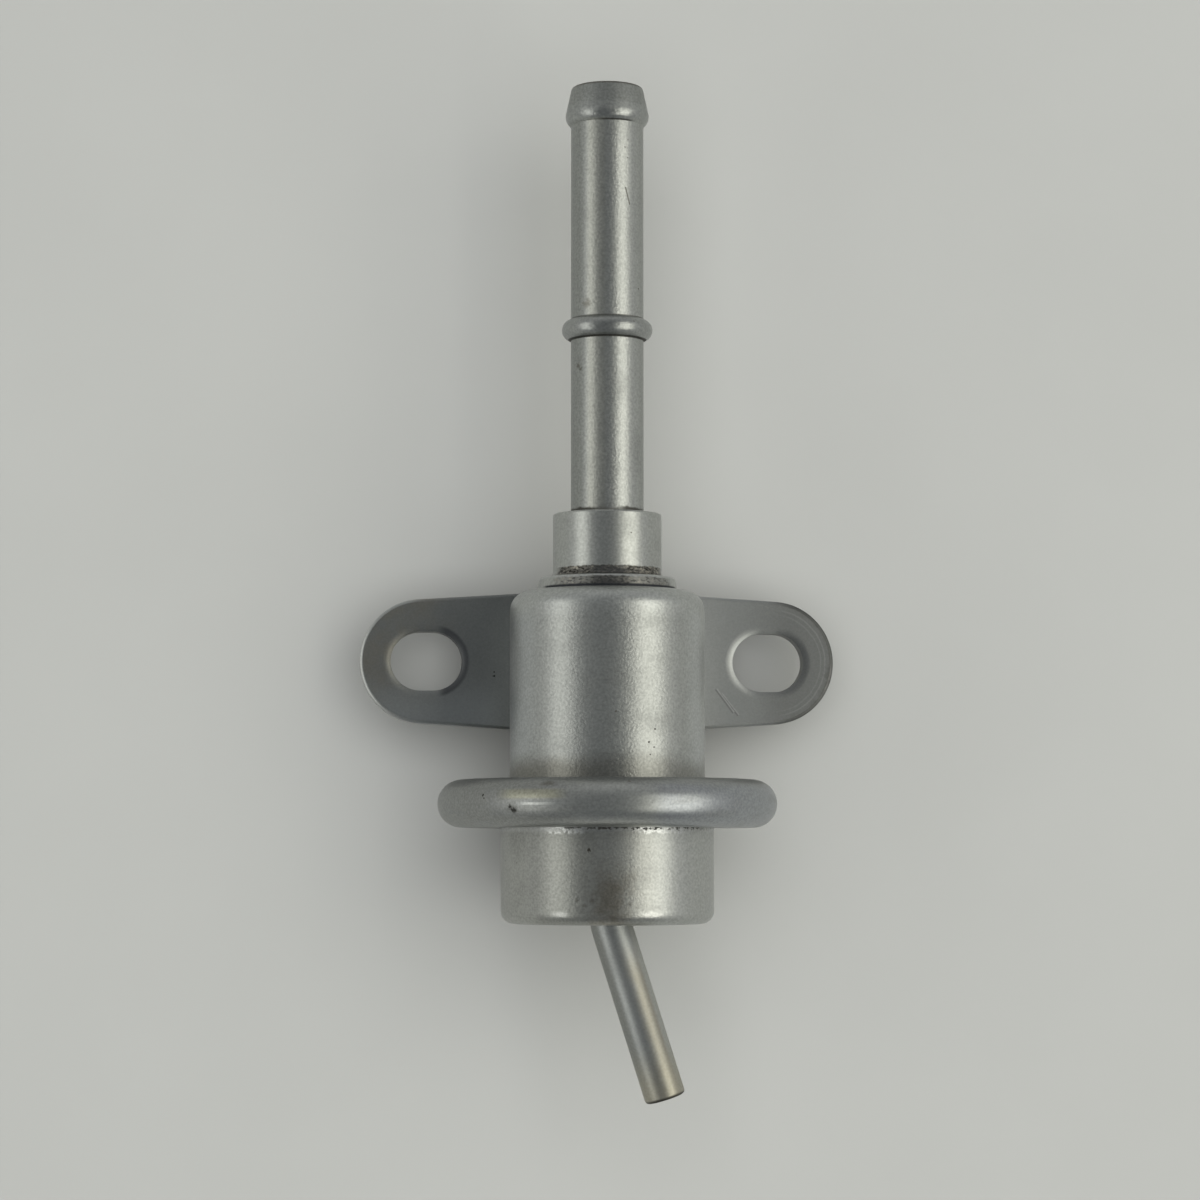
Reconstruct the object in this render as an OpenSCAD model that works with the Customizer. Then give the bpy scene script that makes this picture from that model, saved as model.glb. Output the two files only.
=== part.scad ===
// Fuel pressure regulator: a crimped two-part steel case with a diaphragm valve inside, a return
// pipe on top, a bent vacuum pipe below, and a two-bolt bracket with an O-ring inlet behind.
// Millimetres. The regulator lies on its back: its axis runs along +Y towards the return pipe's
// mouth. The origin is the middle of the bracket's mounting face, where the inlet comes out.

/* [Upper case] */
// Outside diameter of the drawn body
body_d = 21.3; // [19:0.1:26]
// Length of the body from its top to the rolled rim
body_len = 20.6; // [18:0.1:28]
// Distance from the inlet's centre line to the top of the case
inlet_to_top = 7.1; // [6.5:0.1:9]
// Thickness of the upper case's sheet
case_t = 1.2; // [0.8:0.1:1.5]
// Inside radius of the drawn shoulder
shoulder_in = 0.9; // [0.3:0.1:2]

/* [Lower case] */
// How much the lower case's radius is larger than the upper one's
cup_step = 0.95; // [0.5:0.05:2]
// Length of the lower case below the rim
cup_len = 10.4; // [9:0.1:15]
// Thickness of the lower case's sheet
cup_t = 1.2; // [0.8:0.1:1.5]
// Inside radius of the lower case's bottom corner
cup_corner_in = 0.2; // [0.1:0.1:1]

/* [Rolled rim] */
// How far the rim stands out from the lower case
rim_w = 6.9; // [5.5:0.1:9]
// Gap between the rolled lip's edge and the lower case
lip_gap = 0.2; // [0.1:0.05:0.6]
// Room around the clamped flange inside the roll
crimp_clear = 0.1; // [0.05:0.05:0.3]

/* [Pipe boss] */
// Diameter of the collar around the return pipe
collar_d = 11.9; // [11:0.1:13]
// Height of the collar above the case
collar_h = 8.5; // [6:0.1:12]
// Diameter of the flared base on the case
base_d = 15.5; // [14.5:0.1:16.5]
// Height of the flared base
base_h = 1.45; // [0.8:0.05:1.8]
// How much the base narrows towards its top edge, in radius
base_taper = 0.35; // [0.1:0.05:0.6]
// Radius of the hollow fillet between base and collar
collar_fillet = 0.7; // [0.3:0.1:1]
// Radius that breaks the collar's top edge
collar_edge = 0.25; // [0.1:0.05:0.5]
// Depth of the socket that holds the return pipe
socket_depth = 7.0; // [4:0.1:8]
// Diameter of the spigot through the case
spigot_d = 10.0; // [9:0.1:11]
// Length of the spigot inside the case
spigot_len = 1.4; // [0.8:0.1:3]
// Thickness of the ledge between the pipe and the valve seat
ledge_t = 1.0; // [0.6:0.1:1.5]
// Diameter of the passage through the ledge
passage_d = 5.2; // [4:0.1:6]

/* [Return pipe] */
// Outside diameter of the return pipe
pipe_d = 8.0; // [7.4:0.1:9]
// Wall of the return pipe
pipe_t = 0.8; // [0.6:0.05:1]
// Length of the return pipe outside the collar
pipe_len = 47.5; // [40:0.1:60]
// Diameter over the hose-stop bead
stop_bead_d = 10.0; // [9.6:0.1:12]
// Width of the hose-stop bead
stop_bead_w = 2.5; // [2.2:0.1:3]
// Distance from the collar to the middle of the hose-stop bead
stop_bead_at = 20.3; // [10:0.1:28]
// Diameter over the mouth bead
mouth_bead_d = 9.2; // [8.8:0.1:10.4]
// Length of the mouth bead's taper, from the mouth to its widest place
mouth_taper = 2.7; // [2:0.1:4]
// Radius of the mouth bead's crest
mouth_crest_r = 2.4; // [1.2:0.1:3]

/* [Vacuum pipe] */
// Outside diameter of the vacuum pipe
vac_d = 4.5; // [3.6:0.1:5]
// Wall of the vacuum pipe
vac_t = 0.9; // [0.5:0.05:1.1]
// How far the vacuum pipe's inner end lies off the case's axis
vac_offset = 0.2; // [0:0.1:0.8]
// Bend radius of the vacuum pipe's centre line
vac_bend_r = 9.6; // [6:0.2:16]
// Angle of the vacuum pipe's bend
vac_bend = 17.6; // [5:0.1:45]
// Length of the vacuum pipe after its bend
vac_len = 18.9; // [12:0.1:24]
// Length of the vacuum pipe inside the case
vac_inside = 0.8; // [0.4:0.1:2]

/* [Bracket] */
// Thickness of the bracket's plate
plate_t = 2.3; // [1.8:0.1:3]
// Distance between the middles of the two bolt slots
slot_spacing = 38.6; // [36:0.2:46]
// Width of a bolt slot
slot_w = 6.6; // [5.5:0.1:7.5]
// Length of a bolt slot
slot_len = 8.05; // [7.6:0.05:9]
// Radius of an ear's end
ear_r = 6.95; // [6.2:0.05:8]
// How far an ear's centre lies outside its slot's middle
ear_shift = 0.5; // [0:0.05:0.8]
// Radius of the plate's middle, which the ears' edges run to
hub_r = 8.2; // [7.8:0.1:10]
// Depth of the saddle that the case is brazed in
saddle = 0.25; // [0.2:0.05:0.8]

/* [Inlet] */
// Diameter of the inlet's nose
nose_d = 11.0; // [10.4:0.1:12]
// Length of the nose beyond the mounting face
nose_len = 5.8; // [5:0.1:8]
// Diameter of the shank through the bracket
shank_d = 8.4; // [7.8:0.1:9.4]
// Bore of the inlet
inlet_bore_d = 6.0; // [5.6:0.1:6.4]
// How far the shank stands in from the case's bore
shank_proud = 0.3; // [0.1:0.1:1]
// Thickness of the nose's collar at the mounting face
nose_collar = 1.2; // [0.8:0.1:1.6]
// Diameter of the O-ring's groove
groove_d = 7.8; // [7.4:0.1:8.4]
// Width of the O-ring's groove
groove_w = 2.8; // [2.4:0.1:3.2]
// Section of the O-ring
ring_t = 2.2; // [1.8:0.1:2.3]
// Chamfer on the nose's end
nose_chamfer = 0.4; // [0.2:0.1:0.8]

/* [Diaphragm] */
// Thickness of the diaphragm
diaphragm_t = 0.7; // [0.5:0.05:0.8]
// Thickness of the diaphragm's clamped edge
edge_t = 1.6; // [1.2:0.1:2]
// How far the middle stands above the clamped edge
middle_rise = 2.4; // [1.6:0.1:3]
// Length of the straight leg between the clamped edge and the roll
leg_len = 0.5; // [0.2:0.1:1.5]
// Gap between the diaphragm's inner leg and the upper case's bore
leg_gap = 1.2; // [1:0.05:1.6]
// Room between the diaphragm's legs and the metal beside them
leg_clear = 0.15; // [0.1:0.05:0.25]

/* [Valve] */
// Thickness of the diaphragm plate
disc_t = 1.0; // [0.8:0.1:1.4]
// Thickness of the spring cup's sheet
spring_cup_t = 0.9; // [0.7:0.1:1.1]
// Height of the spring cup
spring_cup_h = 4.0; // [3:0.1:5]
// Inside radius of the spring cup's corner
spring_cup_in = 0.2; // [0.1:0.1:0.5]
// Diameter of the valve ball
ball_d = 6.0; // [5.4:0.1:6.6]
// Height of the ball's flat above its centre
flat_h = 2.0; // [1.9:0.05:2.2]
// Room around the ball in its socket
ball_clear = 0.06; // [0.03:0.01:0.12]
// Height of the ball's centre above the diaphragm plate
ball_rise = 3.6; // [3.4:0.1:4.5]
// Height of the retaining ring's underside above the ball's centre
retainer_h = 1.25; // [1.1:0.05:1.3]
// Thickness of the retaining ring
retainer_t = 0.5; // [0.4:0.05:0.55]
// Width of the step in the socket that the retaining ring lies on
retainer_step = 0.7; // [0.5:0.1:1]
// Wall of the socket around the retaining ring
socket_wall = 0.8; // [0.6:0.1:1.2]
// Height of the lip that is staked over the retaining ring
lip_h = 0.35; // [0.25:0.05:0.4]
// How far that lip reaches in over the ring
lip_reach = 0.5; // [0.3:0.1:0.5]
// Diameter of the holder's riveted shank
rivet_d = 5.2; // [4.8:0.1:5.6]
// Diameter of the rivet's head
rivet_head_d = 7.2; // [6.4:0.1:8]
// Height of the rivet's head
rivet_head_h = 0.9; // [0.6:0.1:1.2]

/* [Valve seat] */
// Outside diameter of the seat's nozzle
nozzle_d = 6.8; // [6.4:0.1:7.4]
// Bore through the seat
seat_bore_d = 3.0; // [2.4:0.1:3.2]
// Outside diameter of the seat's land
land_d = 4.0; // [3.8:0.05:4.1]
// Height of the nozzle's tapered end
nozzle_taper = 2.5; // [2:0.1:4]
// Bore of the nozzle's wide upper part
relief_d = 4.8; // [3.6:0.1:5]
// Length of the narrow bore above the land
throat_len = 4.0; // [3:0.1:6]

/* [Springs] */
// Wire of the main spring
wire_d = 1.5; // [1.2:0.05:1.7]
// Free coils of the main spring
coils = 4; // [3:0.5:4.5]
// Gap between the main spring's closed end turns
end_gap = 0.05; // [0.02:0.01:0.2]
// Room beside the main spring in its cup and on its seat
spring_clear = 0.2; // [0.1:0.05:0.4]
// Thickness of the lower spring seat's sheet
seat_t = 0.8; // [0.6:0.1:1]
// Height of the collar that centres the main spring
seat_collar_h = 2.0; // [1.4:0.1:3]
// Room between the lower spring seat and the case's corner
seat_clear = 0.2; // [0.1:0.1:0.5]
// Wire of the ball's spring
ball_wire_d = 0.4; // [0.3:0.05:0.45]
// Diameter of the ball's spring at its wire's middle
ball_coil_d = 2.2; // [1.8:0.1:2.4]
// Coils of the ball's spring
ball_coils = 3; // [2:0.5:3]
// Depth of the ball spring's pocket below the ball
pocket_depth = 2.2; // [2:0.1:2.6]
// Room around the ball's spring in its pocket
pocket_clear = 0.3; // [0.2:0.05:0.4]

/* [Hidden] */
$fn = 96;
// Overshoot of every cutting shape, so that no skin is left
cut = 1;
// How far a straight edge runs inside the arc that it meets
arc_overlap = 0.01;

body_r = body_d / 2;
bore_r = body_r - case_t;
cup_r = body_r + cup_step;
cup_bore_r = cup_r - cup_t;
axis_h = plate_t + body_r - saddle;

// Heights along the regulator's axis, from the inlet's centre line
case_top = inlet_to_top;
rim_top = case_top - body_len;
rim_h = 2 * case_t + edge_t + cup_t;
rim_mid = rim_top - rim_h / 2;
rim_bottom = rim_top - rim_h;
flange_bottom = rim_bottom + case_t;
flange_top = flange_bottom + cup_t;
cup_bottom = rim_bottom - cup_len;
cup_floor = cup_bottom + cup_t;

rim_r = cup_r + rim_w;
curl_at = rim_r - rim_h / 2;
clamp_r = curl_at - crimp_clear;
lip_r = cup_r + lip_gap;

collar_r = collar_d / 2;
collar_top = case_top + collar_h;
base_r = base_d / 2;
base_top = case_top + base_h;
spigot_r = spigot_d / 2;
spigot_end = case_top - case_t - spigot_len;
socket_floor = collar_top - socket_depth;
seat_top = socket_floor - ledge_t;

pipe_r = pipe_d / 2;
pipe_bore_r = pipe_r - pipe_t;
pipe_mouth = collar_top + pipe_len;
stop_bead_u = collar_top + stop_bead_at;
mouth_bead_u = pipe_mouth - mouth_taper;

vac_r = vac_d / 2;
vac_bore_r = vac_r - vac_t;

shank_r = shank_d / 2;
shank_end = axis_h - sqrt(pow(bore_r, 2) - pow(shank_r, 2)) + shank_proud;
nose_r = nose_d / 2;
groove_r = groove_d / 2;
groove_top = -nose_collar;

// The diaphragm's middle surface: legs, roll and the bends beside them
clamp_mid = flange_top + edge_t / 2;
middle_u = clamp_mid + middle_rise;
bend_r = diaphragm_t;
inner_leg_r = bore_r - leg_gap - diaphragm_t / 2;
outer_leg_r = cup_bore_r - leg_clear - diaphragm_t / 2;
roll_at = (inner_leg_r + outer_leg_r) / 2;
roll_r = (outer_leg_r - inner_leg_r) / 2;
roll_u = clamp_mid - bend_r - leg_len;

// The valve's stack, from the diaphragm up to the ball and down to the spring
disc_r = inner_leg_r - diaphragm_t / 2 - leg_clear;
disc_bottom = middle_u + diaphragm_t / 2;
disc_top = disc_bottom + disc_t;
spring_cup_top = middle_u - diaphragm_t / 2;
spring_cup_floor = spring_cup_top - spring_cup_t;
rivet_r = rivet_d / 2;
rivet_end = spring_cup_floor - rivet_head_h;
ball_r = ball_d / 2;
ball_u = disc_top + ball_rise;
flat_u = ball_u + flat_h;
socket_r = ball_r + ball_clear;
retainer_r = socket_r + retainer_step;
retainer_u = ball_u + retainer_h;
retainer_top = retainer_u + retainer_t;
retainer_hole_r = sqrt(pow(ball_r, 2) - pow(retainer_h, 2)) + ball_clear;
holder_r = retainer_r + socket_wall;
holder_top = retainer_top + lip_h;

ball_wire_r = ball_wire_d / 2;
ball_coil_r = ball_coil_d / 2;
pocket_r = ball_coil_r + ball_wire_r + pocket_clear;
pocket_floor = ball_u - ball_r - pocket_depth;
ball_floor = ball_u - sqrt(pow(ball_r, 2) - pow(pocket_r, 2)) - 2 * ball_clear;

wire_r = wire_d / 2;
coil_r = disc_r - spring_cup_t - spring_clear - wire_r;
seat_collar_r = coil_r - wire_r - spring_clear;
spring_seat_r = cup_bore_r - cup_corner_in - seat_clear;
spring_bottom = cup_floor + seat_t;

// Puts what is drawn upright around Z on the regulator's axis
module on_axis() { translate([0, 0, axis_h]) rotate([-90, 0, 0]) children(); }

// Turns a half section, drawn as radius and height, around the regulator's axis
module turned() { on_axis() rotate_extrude() children(); }

// A rectangle of a half section, between two radii and two heights
module band(inner, outer, low, high) { translate([inner, low]) square([outer - inner, high - low]); }

// The half section of a drum whose top corner is rounded
module drum(r, low, high, corner) {
    band(0, r, low, high - corner);
    band(0, r - corner, low, high);
    translate([r - corner, high - corner]) circle(corner);
}

// The same with its bottom corner rounded
module basin(r, low, high, corner) { translate([0, low + high]) mirror([0, 1]) drum(r, low, high, corner); }

// A quarter or half of a curved sheet: a ring about a point, kept inside one box
module curved_sheet(at, low_r, high_r, inner, outer, low, high) {
    intersection() {
        translate(at) difference() {
            circle(high_r);
            if (low_r > 0) circle(low_r);
        }
        band(inner, outer, low, high);
    }
}

// Points around the wire at one place of a coil, and the coil itself as a swept tube
function coil_ring(coil_r, wire_r, turn, height, sides) = [
    for (side = [0 : sides - 1])
        let (out = coil_r + wire_r * cos(360 * side / sides))
        [out * cos(360 * turn), out * sin(360 * turn), height + wire_r * sin(360 * side / sides)]];

// The rise along a spring: one closed turn at each end, the free coils evenly between them
function coil_rise(turn, turns, length, closed) =
    turn < 1 ? closed * turn
    : turn > turns - 1 ? length - closed * (turns - turn)
    : closed + (length - 2 * closed) * (turn - 1) / (turns - 2);

module swept_coil(rings, sides) {
    count = len(rings);
    points = [for (ring = rings) each ring];
    skin = [for (i = [0 : count - 2], side = [0 : sides - 1])
        let (next = (side + 1) % sides)
        [i * sides + side, i * sides + next, (i + 1) * sides + next, (i + 1) * sides + side]];
    start = [for (side = [sides - 1 : -1 : 0]) side];
    end = [for (side = [0 : sides - 1]) (count - 1) * sides + side];
    polyhedron(points, concat([start, end], skin));
}

// The hole that the inlet's shank fills, through the bracket and the near wall of the case
module inlet_hole() { translate([0, 0, -cut]) cylinder(r = shank_r, h = axis_h + cut); }

module upper_case() {
    color("silver") difference() {
        turned() {
            difference() {
                drum(body_r, rim_top, case_top, shoulder_in + case_t);
                drum(bore_r, rim_top - cut, case_top - case_t, shoulder_in);
                band(0, spigot_r, case_top - case_t - cut, case_top + cut);
            }
            curved_sheet([body_r, rim_top], 0, case_t, bore_r, body_r, rim_top - case_t, rim_top);
            band(body_r, curl_at, rim_top - case_t, rim_top);
            curved_sheet([curl_at, rim_mid], rim_h / 2 - case_t, rim_h / 2,
                curl_at, rim_r + cut, rim_bottom - cut, rim_top + cut);
            band(lip_r, curl_at, rim_bottom, flange_bottom);
        }
        inlet_hole();
    }
}

module lower_case() {
    color("silver") difference() {
        turned() {
            difference() {
                basin(cup_r, cup_bottom, flange_bottom, cup_corner_in + cup_t);
                basin(cup_bore_r, cup_floor, flange_bottom + cut, cup_corner_in);
            }
            curved_sheet([cup_r, flange_bottom], 0, cup_t, cup_bore_r, cup_r, flange_bottom, flange_top);
            band(cup_r, clamp_r, flange_bottom, flange_top);
        }
        vac_hole();
    }
}

module pipe_boss() {
    color("gainsboro") turned() difference() {
        union() {
            drum(collar_r, base_top, collar_top, collar_edge);
            polygon([[0, case_top], [base_r, case_top], [base_r - base_taper, base_top], [0, base_top]]);
            difference() {
                band(0, collar_r + collar_fillet, base_top, base_top + collar_fillet);
                translate([collar_r + collar_fillet, base_top + collar_fillet]) circle(collar_fillet);
            }
            band(0, spigot_r, spigot_end, case_top);
        }
        band(0, pipe_r, socket_floor, collar_top + cut);
        band(0, passage_d / 2, seat_top - cut, socket_floor + cut);
        band(0, nozzle_d / 2, spigot_end - cut, seat_top);
    }
}

module return_pipe() {
    crest_at = mouth_bead_d / 2 - mouth_crest_r;
    bead_r = stop_bead_w / 2;
    bead_at = stop_bead_d / 2 - bead_r;
    fold_r = bead_r - pipe_t;
    color("silver") turned() difference() {
        union() {
            band(0, pipe_r, socket_floor, pipe_mouth - pipe_t / 2);
            translate([pipe_r - pipe_t / 2, pipe_mouth - pipe_t / 2]) circle(pipe_t / 2);
            translate([bead_at, stop_bead_u]) circle(bead_r);
            translate([crest_at, mouth_bead_u]) circle(mouth_crest_r);
            mouth_cone(crest_at);
        }
        band(-pipe_r, pipe_bore_r, socket_floor - cut, pipe_mouth + cut);
        band(pipe_bore_r - cut, bead_at, stop_bead_u - fold_r, stop_bead_u + fold_r);
        translate([bead_at, stop_bead_u]) circle(fold_r);
    }
}

// The taper from the mouth's round edge to the crest of its bead, tangent to both
module mouth_cone(crest_at) {
    edge = [pipe_r - pipe_t / 2, pipe_mouth - pipe_t / 2];
    crest = [crest_at, mouth_bead_u];
    span = norm(edge - crest);
    lean = atan2(edge[1] - crest[1], edge[0] - crest[0]) - acos((mouth_crest_r - pipe_t / 2) / span);
    side = [cos(lean), sin(lean)];
    polygon([crest, crest + (mouth_crest_r - arc_overlap) * side,
        edge + (pipe_t / 2 - arc_overlap) * side, edge]);
}

module mounting_bracket() {
    ear_at = slot_spacing / 2 + ear_shift;
    lean = asin((hub_r - ear_r) / ear_at);
    side = [sin(lean), cos(lean)];
    hub_edge = (hub_r - arc_overlap) * side;
    ear_edge = [ear_at, 0] + (ear_r - arc_overlap) * side;
    edges = [hub_edge, ear_edge];
    color("gray") difference() {
        union() {
            cylinder(r = hub_r, h = plate_t);
            for (way = [-1, 1]) translate([way * ear_at, 0, 0]) cylinder(r = ear_r, h = plate_t);
            linear_extrude(plate_t) polygon([for (turn = [[-1, 1], [1, 1], [1, -1], [-1, -1]], end = [0, 1])
                let (edge = edges[turn[0] * turn[1] > 0 ? end : 1 - end])
                [turn[0] * edge[0], turn[1] * edge[1]]]);
        }
        translate([0, 0, -cut]) linear_extrude(plate_t + 2 * cut) {
            for (way = [-1, 1]) translate([way * slot_spacing / 2, 0]) bolt_slot();
            circle(shank_r);
        }
        on_axis() cylinder(r = body_r, h = 4 * hub_r, center = true);
    }
}

module bolt_slot() {
    run = slot_len - slot_w;
    for (end = [-run / 2, run / 2]) translate([end, 0]) circle(d = slot_w);
    square([run, slot_w], center = true);
}

module vacuum_pipe() {
    color("darkkhaki") vac_place() {
        vac_bend_sweep() difference() {
            circle(vac_r);
            circle(vac_bore_r);
        }
        rotate_extrude() {
            band(vac_bore_r, vac_r, vac_t / 2 - vac_len, 0);
            translate([vac_r - vac_t / 2, vac_t / 2 - vac_len]) circle(vac_t / 2);
        }
    }
}

// The space that the vacuum pipe takes up, for the hole that it is brazed in
module vac_hole() {
    vac_place() {
        vac_bend_sweep() circle(vac_r);
        translate([0, 0, -vac_len]) cylinder(r = vac_r, h = vac_len);
    }
}

// Sets down what is drawn around the end of the vacuum pipe's bend, with its straight end along -Z
module vac_place() {
    on_axis() translate([vac_offset + vac_bend_r, 0, cup_floor + vac_inside])
        rotate([0, -vac_bend, 0]) translate([-vac_bend_r, 0, 0]) children();
}

module vac_bend_sweep() {
    translate([vac_bend_r, 0, 0]) rotate([-90, 0, 0]) rotate([0, 0, 180])
        rotate_extrude(angle = vac_bend) translate([vac_bend_r, 0]) children();
}

module inlet_union() {
    color("lightgray") rotate_extrude() difference() {
        union() {
            band(0, shank_r, 0, shank_end);
            band(0, nose_r, nose_chamfer - nose_len, 0);
            polygon([[0, -nose_len], [nose_r - nose_chamfer, -nose_len], [nose_r, nose_chamfer - nose_len],
                [0, nose_chamfer - nose_len]]);
        }
        band(0, inlet_bore_d / 2, -nose_len - cut, shank_end + cut);
        band(groove_r, nose_r + cut, groove_top - groove_w, groove_top);
    }
}

module inlet_o_ring() {
    color("darkslategray") rotate_extrude()
        translate([groove_r + ring_t / 2, groove_top - groove_w / 2]) circle(ring_t / 2);
}

module valve_seat() {
    color("goldenrod") turned() difference() {
        union() {
            band(0, nozzle_d / 2, flat_u + nozzle_taper, seat_top);
            polygon([[0, flat_u], [land_d / 2, flat_u], [nozzle_d / 2, flat_u + nozzle_taper],
                [0, flat_u + nozzle_taper]]);
        }
        band(0, seat_bore_d / 2, flat_u - cut, seat_top + cut);
        band(0, relief_d / 2, flat_u + throat_len, seat_top + cut);
    }
}

module diaphragm() {
    half = diaphragm_t / 2;
    middle_edge = inner_leg_r - bend_r;
    outer_edge = outer_leg_r + bend_r;
    color("dimgray") turned() {
        band(rivet_r, middle_edge, middle_u - half, middle_u + half);
        curved_sheet([middle_edge, middle_u - bend_r], bend_r - half, bend_r + half,
            middle_edge, inner_leg_r + half, middle_u - bend_r, middle_u + half);
        band(inner_leg_r - half, inner_leg_r + half, roll_u, middle_u - bend_r);
        curved_sheet([roll_at, roll_u], roll_r - half, roll_r + half,
            inner_leg_r - half, outer_leg_r + half, roll_u - roll_r - half, roll_u);
        band(outer_leg_r - half, outer_leg_r + half, roll_u, clamp_mid - bend_r);
        curved_sheet([outer_edge, clamp_mid - bend_r], bend_r - half, bend_r + half,
            outer_leg_r - half, outer_edge, clamp_mid - bend_r, clamp_mid + half);
        band(outer_edge, clamp_r, clamp_mid - half, clamp_mid + half);
        band(cup_r, clamp_r, flange_top, flange_top + edge_t);
    }
}

module spring_seat() {
    inner = seat_collar_r - seat_t;
    color("lightgray") turned() {
        band(inner, spring_seat_r, cup_floor, spring_bottom);
        band(inner, seat_collar_r, cup_floor, cup_floor + seat_collar_h - seat_t / 2);
        translate([seat_collar_r - seat_t / 2, cup_floor + seat_collar_h - seat_t / 2]) circle(seat_t / 2);
    }
}

module main_spring() {
    sides = 10;
    steps_per_turn = 20;
    turns = coils + 2;
    closed_pitch = wire_d + end_gap;
    length = spring_cup_floor - spring_bottom - wire_d;
    steps = ceil(turns * steps_per_turn);
    color("dimgray") on_axis() translate([0, 0, spring_bottom + wire_r])
        swept_coil([for (i = [0 : steps]) let (turn = turns * i / steps)
            coil_ring(coil_r, wire_r, turn, coil_rise(turn, turns, length, closed_pitch), sides)], sides);
}

module diaphragm_plate() {
    color("lightgray") turned() {
        band(rivet_r, disc_r - disc_t / 2, disc_bottom, disc_top);
        translate([disc_r - disc_t / 2, disc_bottom + disc_t / 2]) circle(disc_t / 2);
    }
}

module spring_cup() {
    low = spring_cup_top - spring_cup_h;
    color("lightgray") turned() difference() {
        drum(disc_r, low, spring_cup_top, spring_cup_in + spring_cup_t);
        drum(disc_r - spring_cup_t, low - cut, spring_cup_floor, spring_cup_in);
        band(0, rivet_r, spring_cup_floor - cut, spring_cup_top + cut);
    }
}

module valve_holder() {
    color("lightgray") turned() difference() {
        union() {
            band(0, holder_r, disc_top, holder_top);
            band(0, rivet_r, spring_cup_floor, disc_top);
            basin(rivet_head_d / 2, rivet_end, spring_cup_floor, rivet_head_h / 2);
        }
        band(0, pocket_r, pocket_floor, ball_floor + cut);
        band(0, socket_r, ball_floor, retainer_u);
        band(0, retainer_r, retainer_u, retainer_top);
        band(0, retainer_r - lip_reach, retainer_top, holder_top + cut);
    }
}

module valve_ball() {
    color("lightsteelblue") on_axis() translate([0, 0, ball_u]) difference() {
        sphere(ball_r);
        translate([-ball_d / 2, -ball_d / 2, flat_h]) cube(ball_d);
    }
}

module ball_retainer() {
    color("lightgray") turned() band(retainer_hole_r, retainer_r, retainer_u, retainer_top);
}

module ball_spring() {
    sides = 8;
    steps_per_turn = 16;
    low = pocket_floor + ball_wire_r;
    high = ball_u - sqrt(pow(ball_r + ball_wire_r + ball_clear, 2) - pow(ball_coil_r, 2));
    steps = ceil(ball_coils * steps_per_turn);
    color("dimgray") on_axis() translate([0, 0, low])
        swept_coil([for (i = [0 : steps]) let (turn = ball_coils * i / steps)
            coil_ring(ball_coil_r, ball_wire_r, turn, (high - low) * i / steps, sides)], sides);
}

upper_case();
lower_case();
pipe_boss();
return_pipe();
mounting_bracket();
vacuum_pipe();
inlet_union();
inlet_o_ring();
valve_seat();
diaphragm();
spring_seat();
main_spring();
diaphragm_plate();
spring_cup();
valve_holder();
valve_ball();
ball_retainer();
ball_spring();
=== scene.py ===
"""Fuel pressure regulator: a crimped steel case with a return pipe, a vacuum pipe and a bracket."""

from math import acos, atan2, cos, degrees, pi, radians, sin, sqrt, tan

import bpy
from mathutils import Matrix, Vector


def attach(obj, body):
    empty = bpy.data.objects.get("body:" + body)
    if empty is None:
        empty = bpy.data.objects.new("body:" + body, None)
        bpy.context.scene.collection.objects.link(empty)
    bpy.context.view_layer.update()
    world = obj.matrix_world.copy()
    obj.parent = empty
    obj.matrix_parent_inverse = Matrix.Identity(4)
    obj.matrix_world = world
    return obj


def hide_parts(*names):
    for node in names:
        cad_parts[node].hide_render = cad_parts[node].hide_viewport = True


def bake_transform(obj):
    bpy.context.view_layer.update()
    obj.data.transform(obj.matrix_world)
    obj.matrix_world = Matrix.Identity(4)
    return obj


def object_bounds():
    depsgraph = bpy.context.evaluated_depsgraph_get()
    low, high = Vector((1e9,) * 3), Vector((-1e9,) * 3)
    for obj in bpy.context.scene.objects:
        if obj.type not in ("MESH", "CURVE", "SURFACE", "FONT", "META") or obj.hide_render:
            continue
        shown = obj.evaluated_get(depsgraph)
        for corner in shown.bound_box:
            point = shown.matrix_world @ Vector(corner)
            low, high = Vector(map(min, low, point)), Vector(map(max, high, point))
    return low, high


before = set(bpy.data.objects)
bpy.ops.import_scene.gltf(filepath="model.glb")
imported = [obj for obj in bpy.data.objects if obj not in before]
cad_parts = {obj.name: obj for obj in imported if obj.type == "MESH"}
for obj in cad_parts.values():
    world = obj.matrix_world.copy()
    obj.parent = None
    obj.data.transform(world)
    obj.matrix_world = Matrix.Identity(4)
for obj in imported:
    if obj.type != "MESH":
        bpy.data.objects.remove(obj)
cad_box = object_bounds()


# Upper case: a deep-drawn cup of 1.2 mm sheet steel, blasted and zinc plated. Its wide mouth flange
# is rolled round the lower case's flange and the diaphragm's edge, which makes the thick rim.
MM = 0.001
AXIS_H = 12.7 * MM
WELD = 0.001 * MM

UPPER_CASE = [
    (5.0, 7.1), (10.65, 7.1, 2.1), (10.65, -13.5, 0.12), (18.5, -13.5, 2.6), (18.5, -18.7, 2.6),
    (12.35, -18.7), (11.8, -18.7, 0.3), (11.8, -17.5, 0.1), (17.3, -17.5, 1.4), (17.3, -14.7, 1.4),
    (9.45, -14.7, 1.2), (9.45, 5.9, 0.9), (5.0, 5.9),
]
LIP_RADII = (11.5, 12.07)
LIP_ALONG = (-18.8, -18.0)
LIP_UNEVEN = 0.04
INLET_SHANK_R = 4.2

SPECK = (0.10, 0.095, 0.085)
GRIME = (0.06, 0.057, 0.05)


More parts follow.
